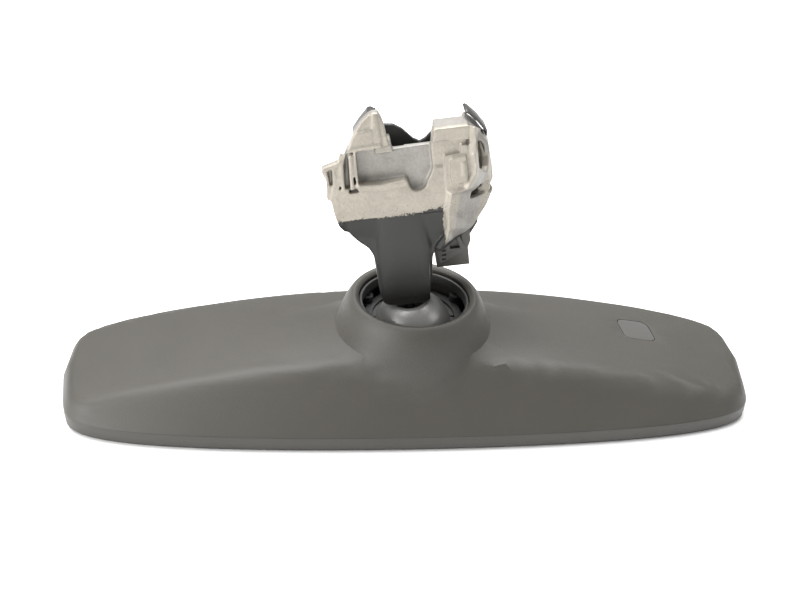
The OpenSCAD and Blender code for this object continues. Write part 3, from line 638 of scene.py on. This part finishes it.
def armBody():
    spine = loft("stem", stemLevels)
    facet = sideBlock("facetCut", [(-9, 12), (-9, 27.2), (-1.8, 30.4), (2.2, 12)], 6.4, 14)
    for vertex in facet.data.vertices:            # the cutter leans so that the facet dies out upwards
        if vertex.co.x < 7:
            vertex.co.x += 0.09 * (vertex.co.y + 9) + 0.05 * (vertex.co.z - 12)
    cut(spine, facet)
    parts = [spine, shieldBody(),
             plate("recess", foot["recess"], -5.6, -3.4),
             plate("lowerPlate", foot["lower"], -7.9, -4.4),
             plate("ledgeBar", foot["ledge"], -9.6, -5.2),
             plate("rightFace", foot["rightFace"], -7.1, -4.6),
             plate("bossFrame", [(14.6, 57.2), (14.6, 68.9), (19.9, 69.4), (20, 72), (21.8, 72), (21.9, 69.5),
                                 (22.3, 62.5), (19.8, 58.1)], -8.2, -5),
             plate("boss", foot["boss"], -9.2, -6),
             plate("bossRib", [(19.7, 61.6), (19.9, 66.6), (20.9, 66.7), (20.8, 61.6)], -9.6, -6)]
    parts += sideWalls() + flange() + earBlocks() + [web()]
    body = joined("armBody", parts)
    outward(body)
    finishWith(body, "REMESH", mode="VOXEL", voxel_size=castDetail["voxel"])
    finishWith(body, "SMOOTH", factor=0.5, iterations=castDetail["rounding"])
    relax(body, castDetail["stemTop"], castDetail["stemFade"], castDetail["stemRounding"])
    settle(body)
    smooth(body, 60)
    return body


arm = armBody()
dress(arm, paintedCasting(), "arm", "arm_casting")
print("arm made", len(arm.data.polygons))

# ---- ball, socket and clips ----
ballMetal = metalFinish("ballMetal", (0.20, 0.198, 0.19), (0.28, 0.276, 0.265), (0.26, 0.40), 0.5, 1500.0, 0.00002)
fineGrain = 0.00003
darkPlastic = mouldedPlastic("darkPlastic", (0.012, 0.012, 0.0115), (0.021, 0.0205, 0.019), (0.36, 0.5),
                             depth=fineGrain)
olivePlastic = mouldedPlastic("olivePlastic", (0.024, 0.0235, 0.016), (0.036, 0.035, 0.026), (0.32, 0.44),
                              depth=fineGrain)
greyPlastic = mouldedPlastic("greyPlastic", (0.08, 0.077, 0.07), (0.115, 0.11, 0.10), (0.42, 0.55),
                             depth=fineGrain)
clipSteel = metalFinish("clipSteel", (0.075, 0.073, 0.070), (0.13, 0.127, 0.122), (0.34, 0.5), 0.85, 1800.0,
                        0.00001, wear=5.0)


def roundedNode(node, name, material, body, width=0.0003, angle=35):
    piece = tidyCopy(node, name)
    finishWith(piece, "BEVEL", width=width, segments=2, limit_method="ANGLE", angle_limit=math.radians(angle))
    smooth(piece, 40)
    dress(piece, material, body, node)
    return piece


roundedNode("pivot_ball", "ballDome", ballMetal, "ball", 0.0004, 50)
roundedNode("collar_ring", "collarSleeve", darkPlastic, "head")
roundedNode("side_panel", "sidePanel", olivePlastic, "arm")

coverShape = {"front": 1.5, "back": 3.2, "rimBack": 7.0}


def rearCover():
    outline = [(-17.0, 50), (-16.4, 66), (-11.0, 74.5), (-3.0, 77.2), (0.0, 76.8), (2.6, 75.0), (5.8, 71.4),
               (7.8, 70.2), (9.6, 71.0), (13.2, 74.4), (18.8, 72), (19.4, 58), (10.5, 46), (-11, 45)]
    pan = plate("coverPan", outline, coverShape["front"], coverShape["back"])
    hole = loft("wireHole", [(0, -3, 3, -3, 3), (8, -3, 3, -3, 3)], power=2)
    hole.rotation_euler = (math.radians(-90), 0, 0)
    hole.location = (0, -1, 52)
    pick(hole)
    bpy.ops.object.transform_apply(location=True, rotation=True, scale=True)
    cut(pan, hole)
    rim = [plate("coverRib", [(-9 + 8 * i, 50), (-9 + 8 * i, 62), (-8 + 8 * i, 62), (-8 + 8 * i, 50)],
                 coverShape["back"] - 0.1, coverShape["rimBack"] - 1.4) for i in range(3)]
    piece = joined("rearCover", [pan] + rim)
    settle(piece)
    finishWith(piece, "BEVEL", width=0.0003, segments=2, limit_method="ANGLE", angle_limit=math.radians(35))
    smooth(piece, 40)
    return piece


dress(rearCover(), darkPlastic, "arm", "rear_cover")


def connector():
    shell = plate("connectorShell", [(10.6, 20.6), (10.2, 30.6), (14.6, 32.4), (20.4, 33.6), (22.6, 35.4), (22.8, 30),
                                     (21.8, 27.4), (22.0, 20.6)], 5.2, 12.8)
    mouth = plate("mouth", [(12.0, 19), (12.0, 29), (20.6, 29), (20.6, 19)], 6.6, 11.4)
    slotShape = [(12.6, 23.2), (12.6, 24.0), (14.0, 24.1), (14.0, 23.3)]
    slotPitch = 1.7
    slots = [plate("slot", [(u, w + slotPitch * i) for u, w in slotShape], 4.6, 5.9) for i in range(3)]
    window = plate("latchWindow", [(15.6, 27.4), (15.0, 31.6), (19.6, 32.8), (20.2, 27.6)], 4.6, 6.4)
    cut(shell, mouth, window, *slots)
    arms = [plate("latchArm", [(19.2, 27), (17.6, 33), (18.6, 33.6), (20.6, 28)], 4.6, 5.8),
            plate("hanger", [(12, 30), (12, 40), (19, 42), (20.5, 32)], 8.4, 10.4)]
    piece = joined("connectorHolder", [shell] + arms)
    settle(piece)
    finishWith(piece, "BEVEL", width=0.00022, segments=2, limit_method="ANGLE", angle_limit=math.radians(35))
    smooth(piece, 40)
    return piece


dress(connector(), greyPlastic, "arm", "connector_shell")


def clip(name, path, front, back):
    piece = ribbon(name, path, 0.7, front, back)
    settle(piece)
    finishWith(piece, "BEVEL", width=0.00018, segments=2, limit_method="ANGLE", angle_limit=math.radians(35))
    smooth(piece, 45)
    return piece


clipPaths = {
    "right": [(28.6, 71.6), (28.7, 73.2), (26.2, 76.8), (23.6, 79.6), (22.9, 80.1), (22.4, 79.8)],
    "left": [(-12.6, 76.6), (-10.4, 79.4)] + arc((-6.8, 81.7), 1.1, 150, 60, 6) + [(-5.6, 82.0), (-5.1, 82.4)]}
rightClip = clip("springClipRight", clipPaths["right"], -2.5, 4.5)
dress(rightClip, clipSteel, "clip_right", "spring_clip_right")
leftClip = clip("springClipLeft", clipPaths["left"], -3.5, 3.5)
dress(leftClip, clipSteel, "clip_left", "spring_clip_left")

# ---- pieces that the CAD shapes show as they are ----
steel = metalFinish("screwSteel", (0.42, 0.42, 0.41), (0.62, 0.61, 0.58), (0.28, 0.42), 0.95, 2400.0, 0.00001)
blackZinc = metalFinish("castZinc", (0.012, 0.012, 0.012), (0.022, 0.022, 0.021), (0.42, 0.58), 0.3, 1000.0, 0.00006)
blackSteel = metalFinish("blackSteel", (0.016, 0.016, 0.016), (0.03, 0.03, 0.03), (0.3, 0.44), 0.5, 2400.0, 0.00001)
innerFinishes = {
    "front_glass": clearFinish("frontGlass", (0.86, 0.92, 0.91), (0.90, 0.94, 0.93), 1.0, 0.02),
    "mirror_glass": metalFinish("mirrorCoating", (0.80, 0.82, 0.83), (0.86, 0.88, 0.88), (0.02, 0.05), 1.0, 20.0,
                                0.0000001),
    "cell_seal": mouldedPlastic("sealRubber", (0.012, 0.012, 0.012), (0.02, 0.02, 0.02), depth=0.00002),
    "foam_pad": mouldedPlastic("foam", (0.04, 0.04, 0.04), (0.07, 0.07, 0.068), (0.8, 0.95), 900.0, 0.0001),
    "glass_carrier": mouldedPlastic("carrierPlastic", (0.02, 0.02, 0.022), (0.035, 0.035, 0.038)),
    "circuit_board": mouldedPlastic("boardLaminate", (0.008, 0.085, 0.035), (0.014, 0.125, 0.05), (0.25, 0.35),
                                    700.0, 0.00002),
    "board_chips": mouldedPlastic("chipPlastic", (0.012, 0.012, 0.013), (0.022, 0.022, 0.024)),
    "board_socket": mouldedPlastic("socketPlastic", (0.50, 0.47, 0.39), (0.60, 0.57, 0.48)),
    "ambient_sensor": darkPlastic, "glare_sensor": darkPlastic,
    "light_guide": clearFinish("clearPlastic", (0.85, 0.88, 0.90), (0.92, 0.94, 0.95), 0.9, 0.08),
    "housing_screws": steel, "board_screws": steel, "socket_screws": steel, "spigot_nut": steel,
    "cover_screws": steel, "clamp_screws": blackSteel, "spring_washers": blackSteel,
    "socket_base": blackZinc, "clamp_plate": blackZinc,
    "head_loom": darkPlastic, "arm_loom": darkPlastic, "friction_cup": darkPlastic,
    "connector_pins": metalFinish("pinMetal", (0.50, 0.42, 0.24), (0.66, 0.57, 0.36), (0.2, 0.3), 1.0, 3000.0,
                                  0.000005),
}
for nodeName, material in innerFinishes.items():
    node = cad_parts[nodeName]
    if not node.material_slots:
        node.data.materials.append(material)
    for materialSlot in node.material_slots:
        materialSlot.material = material
print("inner pieces dressed")
